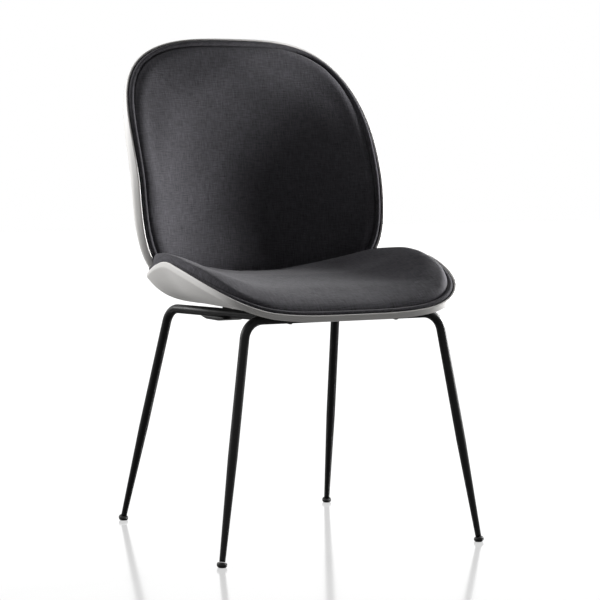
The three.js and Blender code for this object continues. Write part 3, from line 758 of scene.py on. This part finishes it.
def maths(tree, operation, a, b=0.0, clamp=False):
    """One sum on two values."""
    return put(tree, "ShaderNodeMath", {0: a, 1: b}, operation=operation, use_clamp=clamp).outputs[0]


def blend_colours(tree, factor, a, b, kind="MIX"):
    """Colour a where the factor is 0 and b where it is 1, or another kind of mix."""
    node = put(tree, "ShaderNodeMix", {0: factor, 6: a, 7: b}, data_type="RGBA", blend_type=kind)
    return node.outputs[2]


def cloudy(tree, place, scale, detail=2.0, stretch=(1, 1, 1), rough=0.5):
    """Noise from 0 to 1 whose cells are 1/scale metres, stretched along the axes."""
    moved = put(tree, "ShaderNodeMapping", {"Vector": place, "Scale": stretch}).outputs[0]
    inputs = {"Vector": moved, "Scale": scale, "Detail": detail, "Roughness": rough}
    return put(tree, "ShaderNodeTexNoise", inputs).outputs["Fac"]


def ramp(tree, value, low, high, to_low=0.0, to_high=1.0):
    """Straight line from to_low at the value `low` to to_high at `high`, level beyond both."""
    inputs = {"Value": value, "From Min": low, "From Max": high, "To Min": to_low, "To Max": to_high}
    return put(tree, "ShaderNodeMapRange", inputs).outputs["Result"]


def new_group(name, inputs, outputs):
    """A node group, what comes into it and what goes out of it."""
    group = bpy.data.node_groups.new(name, "ShaderNodeTree")
    for label, kind, default in inputs:
        socket = group.interface.new_socket(label, in_out="INPUT", socket_type=kind)
        if default is not None:
            socket.default_value = default
    for label, kind in outputs:
        group.interface.new_socket(label, in_out="OUTPUT", socket_type=kind)
    return group, group.nodes.new("NodeGroupInput").outputs, group.nodes.new("NodeGroupOutput").inputs


def new_material(name, shader_values):
    """A material and its shader; constants go on the shader's own sockets."""
    material = bpy.data.materials.new(name)
    material.use_nodes = True
    shader = material.node_tree.nodes["Principled BSDF"]
    for key, value in shader_values.items():
        shader.inputs[key].default_value = value
    return material, material.node_tree, shader


def use_group(tree, group, inputs):
    """Places a group in a material with its own values."""
    return put(tree, "ShaderNodeGroup", inputs, node_tree=group).outputs


def add_bump(tree, shader, height, strength, distance):
    """Small relief that tilts the shading only; the distance is in metres."""
    bump = put(tree, "ShaderNodeBump", {"Height": height, "Strength": strength, "Distance": distance})
    tree.links.new(bump.outputs[0], shader.inputs["Normal"])


print("node helpers ready")

# %% [markdown]
# ### Linen weave
# A plain weave is a chequer of warp over weft and weft over warp. Each thread has its own shade,
# and thick slubs run along some threads for a few centimetres. A woven look could come from a brick
# texture, but sine waves of the two directions give both the chequer and the roundness of each
# thread, and long thin noise along each direction gives the slubs.

# %% Weave group
THREAD = 0.0009
weave, given, out = new_group(
    "linen_weave",
    [("Cloth", "NodeSocketVector", None), ("Thread", "NodeSocketFloat", THREAD)],
    [("Shade", "NodeSocketFloat"), ("Height", "NodeSocketFloat")],
)
split = put(weave, "ShaderNodeSeparateXYZ", {0: given["Cloth"]}).outputs
half_turn = maths(weave, "DIVIDE", pi, given["Thread"])
wave_u = maths(weave, "SINE", maths(weave, "MULTIPLY", split["X"], half_turn))
wave_v = maths(weave, "SINE", maths(weave, "MULTIPLY", split["Y"], half_turn))
over = maths(weave, "MULTIPLY_ADD", maths(weave, "MULTIPLY", wave_u, wave_v), 0.5)
over.node.inputs[2].default_value = 0.5
warp = cloudy(weave, given["Cloth"], 60, 3, (18, 1.2, 1))
weft = cloudy(weave, given["Cloth"], 60, 3, (1.2, 18, 1))
slub_warp = cloudy(weave, given["Cloth"], 60, 2, (10, 0.9, 1))
slub_weft = cloudy(weave, given["Cloth"], 60, 2, (0.9, 10, 1))
thread_shade = put(weave, "ShaderNodeMix", {0: over, 2: warp, 3: weft}).outputs[0]
slub_shade = maths(weave, "ADD", slub_warp, slub_weft)
shade = maths(weave, "ADD", maths(weave, "MULTIPLY", thread_shade, 0.55),
              maths(weave, "MULTIPLY", slub_shade, 0.45))
weave.links.new(ramp(weave, shade, 0.5, 0.95), out["Shade"])
roundness = put(weave, "ShaderNodeMix", {
    0: over, 2: maths(weave, "ABSOLUTE", wave_u), 3: maths(weave, "ABSOLUTE", wave_v)}).outputs[0]
height = maths(weave, "ADD", maths(weave, "MULTIPLY", roundness, 0.5),
               maths(weave, "MULTIPLY", slub_shade, 0.6))
weave.links.new(height, out["Height"])
print("weave thread:", 1000 * THREAD, "mm")

# %% [markdown]
# ### Moulding grain, and dust with worn edges
# Moulded plastic and powder coat both have a fine pebbled skin and a slow drift of tone. Dust lies
# where a surface faces up, and edges that are touched wear a little lighter.

# %% Grain group and dust group
grain, given, out = new_group(
    "pebbled_grain",
    [("Place", "NodeSocketVector", None), ("Cells", "NodeSocketFloat", 900.0)],
    [("Height", "NodeSocketFloat"), ("Tone", "NodeSocketFloat")],
)
spread = {"Vector": given["Place"], "Scale": given["Cells"]}
pebbles = put(grain, "ShaderNodeTexVoronoi", spread, feature="SMOOTH_F1")
fine_noise = put(grain, "ShaderNodeTexNoise", {**spread, "Detail": 3.0})
relief = maths(grain, "ADD", pebbles.outputs["Distance"], fine_noise.outputs["Fac"])
grain.links.new(relief, out["Height"])
grain.links.new(cloudy(grain, given["Place"], 9, 4), out["Tone"])

dust, given, out = new_group(
    "dust_and_wear",
    [("Place", "NodeSocketVector", None), ("Dust", "NodeSocketFloat", 0.2),
     ("Wear", "NodeSocketFloat", 0.3)],
    [("Dust", "NodeSocketFloat"), ("Wear", "NodeSocketFloat")],
)
surface = dust.nodes.new("ShaderNodeNewGeometry").outputs
facing_up = put(dust, "ShaderNodeSeparateXYZ", {0: surface["Normal"]}).outputs["Z"]
settled = maths(dust, "MULTIPLY", ramp(dust, facing_up, 0.3, 1.0),
                ramp(dust, cloudy(dust, given["Place"], 60, 5), 0.35, 0.75))
dust.links.new(maths(dust, "MULTIPLY", settled, given["Dust"]), out["Dust"])
edge = ramp(dust, surface["Pointiness"], 0.52, 0.62)
rubbed = maths(dust, "MULTIPLY", edge, ramp(dust, cloudy(dust, given["Place"], 130, 4), 0.4, 0.7))
dust.links.new(maths(dust, "MULTIPLY", rubbed, given["Wear"]), out["Wear"])
print("groups:", sorted(group.name for group in bpy.data.node_groups))

# %% Charcoal linen
def make_linen(name, light, thread_turn=0.0):
    """Charcoal linen: dark and pale threads by the weave's shade, slow drifts of dye, and sheen; `light`
    scales both thread colours, and below 1 it is painted shade.
    """
    values = {"Roughness": 0.92, "Sheen Weight": 0.08, "Sheen Roughness": 0.4,
              "Specular IOR Level": 0.15}
    material, tree, shader = new_material(name, values)
    cloth = put(tree, "ShaderNodeAttribute", attribute_name="cloth").outputs["Vector"]
    if thread_turn:
        turned_cloth = {"Vector": cloth, "Rotation": (0, 0, thread_turn)}
        cloth = put(tree, "ShaderNodeMapping", turned_cloth).outputs[0]
    woven = use_group(tree, weave, {"Cloth": cloth, "Thread": THREAD})
    dark = (0.030 * light, 0.0295 * light, 0.033 * light, 1)
    pale = (0.118 * light, 0.114 * light, 0.128 * light, 1)
    threads = blend_colours(tree, woven["Shade"], dark, pale)
    place = put(tree, "ShaderNodeTexCoord").outputs["Object"]
    dye = ramp(tree, cloudy(tree, place, 14, 4), 0.3, 0.7, 0.9, 1.1)
    tint = put(tree, "ShaderNodeCombineColor", {0: dye, 1: dye, 2: dye}).outputs[0]
    tree.links.new(blend_colours(tree, 1.0, threads, tint, "MULTIPLY"), shader.inputs["Base Color"])
    add_bump(tree, shader, woven["Height"], 0.5, 0.0004)
    return material


linen = make_linen("charcoal_linen", 1.0)
# The piping is the same linen at 0.85 of its brightness: painted shade, a darker copy standing in for
# the shade on the welt's roll.
linen_bias_painted_darker = make_linen("charcoal_linen_on_the_bias_painted_darker", 0.85, radians(45))
print("linen:", linen.name, linen_bias_painted_darker.name)

# %% [markdown]
# ### Plastics, metals and board
# The shells are matt white plastic, warm in tone. The frame is powder-coated black. The glides and
# spacers are nylon, the hidden fixings are zinc plated and the hidden boards are raw plywood.

# %% Hard finishes
def make_grained(name, colour, roughness, cells, bump, dust_share, wear_share, worn, values):
    """A pebbled skin: colour drifts with the tone, edges go towards `worn`, dust greys the tops."""
    material, tree, shader = new_material(name, values)
    place = put(tree, "ShaderNodeTexCoord").outputs["Object"]
    pebbled = use_group(tree, grain, {"Place": place, "Cells": cells})
    aged = use_group(tree, dust, {"Place": place, "Dust": dust_share, "Wear": wear_share})
    low = tuple(c * 0.93 for c in colour) + (1,)
    high = tuple(min(1, c * 1.05) for c in colour) + (1,)
    base = blend_colours(tree, pebbled["Tone"], low, high)
    base = blend_colours(tree, aged["Wear"], base, worn + (1,))
    base = blend_colours(tree, aged["Dust"], base, (0.45, 0.43, 0.40, 1))
    tree.links.new(base, shader.inputs["Base Color"])
    rough = ramp(tree, pebbled["Tone"], 0.3, 0.7, roughness - 0.05, roughness + 0.05)
    dusted = maths(tree, "ADD", rough, maths(tree, "MULTIPLY", aged["Dust"], 0.3), True)
    tree.links.new(dusted, shader.inputs["Roughness"])
    add_bump(tree, shader, pebbled["Height"], bump, 0.0002)
    return material


shell_white = make_grained("warm_white_plastic", (0.80, 0.785, 0.765), 0.48, 1400, 0.06, 0.05, 0.15,
                           (0.85, 0.84, 0.82), {"Specular IOR Level": 0.4})
powder_black = make_grained("black_powder_coat", (0.006, 0.006, 0.0062), 0.40, 1600, 0.25, 0.01, 0.1,
                            (0.04, 0.04, 0.04), {"Specular IOR Level": 0.16})
nylon_black = make_grained("black_nylon", (0.014, 0.014, 0.014), 0.5, 1100, 0.15, 0.03, 0.35,
                           (0.05, 0.05, 0.05), {"Specular IOR Level": 0.25})
print("hard finishes:", shell_white.name, powder_black.name, nylon_black.name)

# %% Zinc and plywood
def make_zinc():
    """Zinc plate: overlapping crystals of slightly different brightness, with fine drag marks."""
    material, tree, shader = new_material("zinc_plate", {"Metallic": 1.0})
    place = put(tree, "ShaderNodeTexCoord").outputs["Object"]
    crystals = put(tree, "ShaderNodeTexVoronoi", {"Vector": place, "Scale": 260.0}).outputs["Color"]
    tone = put(tree, "ShaderNodeSeparateColor", {0: crystals}).outputs["Red"]
    colour = blend_colours(tree, tone, (0.50, 0.51, 0.53, 1), (0.66, 0.67, 0.68, 1))
    tree.links.new(colour, shader.inputs["Base Color"])
    drag = cloudy(tree, place, 300, 3, (1, 12, 1))
    tree.links.new(ramp(tree, drag, 0.3, 0.7, 0.28, 0.45), shader.inputs["Roughness"])
    add_bump(tree, shader, drag, 0.1, 0.0001)
    return material


def make_plywood():
    """Plywood: long grain on the faces, and thin dark glue lines where the layers show at an edge."""
    material, tree, shader = new_material("raw_plywood", {"Roughness": 0.75})
    place = put(tree, "ShaderNodeTexCoord").outputs["Object"]
    fibres = cloudy(tree, place, 40, 6, (0.4, 9, 1), 0.65)
    colour = blend_colours(tree, fibres, (0.36, 0.23, 0.12, 1), (0.62, 0.45, 0.27, 1))
    stack = {"Vector": place, "Scale": 130.0}
    layers = put(tree, "ShaderNodeTexWave", stack, bands_direction="Z").outputs["Fac"]
    glue = ramp(tree, layers, 0.0, 0.15, 0.7, 0.0)
    tree.links.new(blend_colours(tree, glue, colour, (0.16, 0.09, 0.05, 1)), shader.inputs["Base Color"])
    add_bump(tree, shader, fibres, 0.3, 0.0002)
    return material


zinc = make_zinc()
plywood = make_plywood()
print("hidden finishes:", zinc.name, plywood.name)

# %% [markdown]
# ## Putting it together
# Nothing on this chair moves, so every piece rides on the one body, `root`. A new piece stands for
# its CAD node, which stays behind the scenes for collision, hidden. The nodes whose shape is
# already right keep it and only get a finish.

# %% Ride, replace and finish
def fit(piece, material, slot, *nodes):
    """Gives a piece its finish and its body, and hides the nodes that it stands for. The slot is not
    used.
    """
    piece.data.materials.append(material)
    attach(piece, "root")
    if nodes:
        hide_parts(*nodes)


fit(seat_shell, shell_white, "shell_plastic", "seat_shell")
fit(back_shell, shell_white, "shell_plastic", "back_shell")
fit(seat_pad, linen, "upholstery", "seat_pad")
fit(back_pad, linen, "upholstery", "back_pad")
fit(seat_piping, linen_bias_painted_darker, "upholstery", "seat_piping")
fit(back_piping, linen_bias_painted_darker, "upholstery", "back_piping")
fit(front_hoop, powder_black, "black_steel", "front_leg_hoop")
for label, piece in rear_tubes.items():
    fit(piece, powder_black, "black_steel", f"rear_leg_{label}")
for piece in beads.values():
    fit(piece, powder_black, "black_steel")
for node, piece in glides.items():
    fit(piece, nylon_black, "black_nylon", node)
for node, piece in fixings.items():
    spacer = node.startswith("spacer")
    fit(piece, nylon_black if spacer else powder_black, "black_nylon" if spacer else "black_steel", node)

CARRIED = {"tab": powder_black, "joint_floor": powder_black, "joint": zinc, "tee_nut": zinc,
           "seat_board": plywood, "back_board": plywood}
for name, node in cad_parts.items():
    finish = next((CARRIED[key] for key in CARRIED if name.startswith(key)), None)
    if finish:
        for material_slot in node.material_slots:
            material_slot.material = finish

# %% [markdown]
# ## Floor, light and camera
# A plain white room: the floor looks evenly white, and a thin gloss on it mirrors the feet. A small
# key light stands close on the right, a faint one hangs above, a broad one stands behind on the left,
# and a weak even sky fills in the rest. Floor and sky look much brighter than the light they give.

# %% Floor and world
floor_mesh = bpy.data.meshes.new("studio_floor")
FLOOR = 12.0
corners = [(-FLOOR, -FLOOR, 0), (FLOOR, -FLOOR, 0), (FLOOR, FLOOR, 0), (-FLOOR, FLOOR, 0)]
floor_mesh.from_pydata(corners, [], [(0, 1, 2, 3)])
floor = bpy.data.objects.new("studio_floor", floor_mesh)
scene.collection.objects.link(floor)
floor_look, tree, shader = new_material("studio_floor", {
    "Base Color": (0.09, 0.09, 0.09, 1), "Roughness": 0.12, "Specular IOR Level": 0.9,
    "Emission Color": (1, 1, 1, 1)})
seen = put(tree, "ShaderNodeLightPath").outputs["Is Camera Ray"]
tree.links.new(ramp(tree, seen, 0, 1, 0.04, 0.58), shader.inputs["Emission Strength"])
floor_mesh.materials.append(floor_look)

world = bpy.data.worlds.new("studio")
scene.world = world
world.use_nodes = True
sky = world.node_tree.nodes["Background"]
seen = put(world.node_tree, "ShaderNodeLightPath").outputs
looked_at = maths(world.node_tree, "MAXIMUM", seen["Is Camera Ray"], seen["Is Glossy Ray"])
world.node_tree.links.new(ramp(world.node_tree, looked_at, 0, 1, 0.065, 1.0), sky.inputs["Strength"])
sky.inputs["Color"].default_value = (1, 1, 1, 1)
scene.view_settings.view_transform = "Standard"
print("floor", 2 * FLOOR, "m wide")

# %% Lights
def soft_light(name, place, aim, size, power):
    """Round lamp at a place, turned to shine at the aim and hidden from the camera."""
    data = bpy.data.lights.new(name, "AREA")
    data.shape = "DISK"
    data.size = size
    data.energy = power
    light = bpy.data.objects.new(name, data)
    light.location = place
    toward = np.array(aim) - np.array(place)
    tilt, heading = np.arctan2(np.hypot(*toward[:2]), -toward[2]), np.arctan2(toward[1], toward[0])
    light.rotation_euler = (tilt, 0, heading - pi / 2)
    light.visible_camera = False
    scene.collection.objects.link(light)
    print(name, place, power, "W")


soft_light("key", (1.40, -0.11, 0.66), (0, 0, 0.60), 0.40, 57)
soft_light("top", (-0.5, 0.6, 2.6), (0, 0, 0.4), 1.0, 12)
soft_light("rear", (-2.4, 1.8, 1.6), (0, 0, 0.5), 1.2, 92)

# %% Camera
camera_data = bpy.data.cameras.new("camera")
camera = bpy.data.objects.new("camera", camera_data)
camera.location = (-1.7452, -3.3390, 0.6822)
camera.rotation_euler = (radians(85.83), 0, radians(-27.93))
camera_data.lens = 129.96
scene.collection.objects.link(camera)
scene.camera = camera
print("camera", tuple(round(c, 3) for c in camera.location))
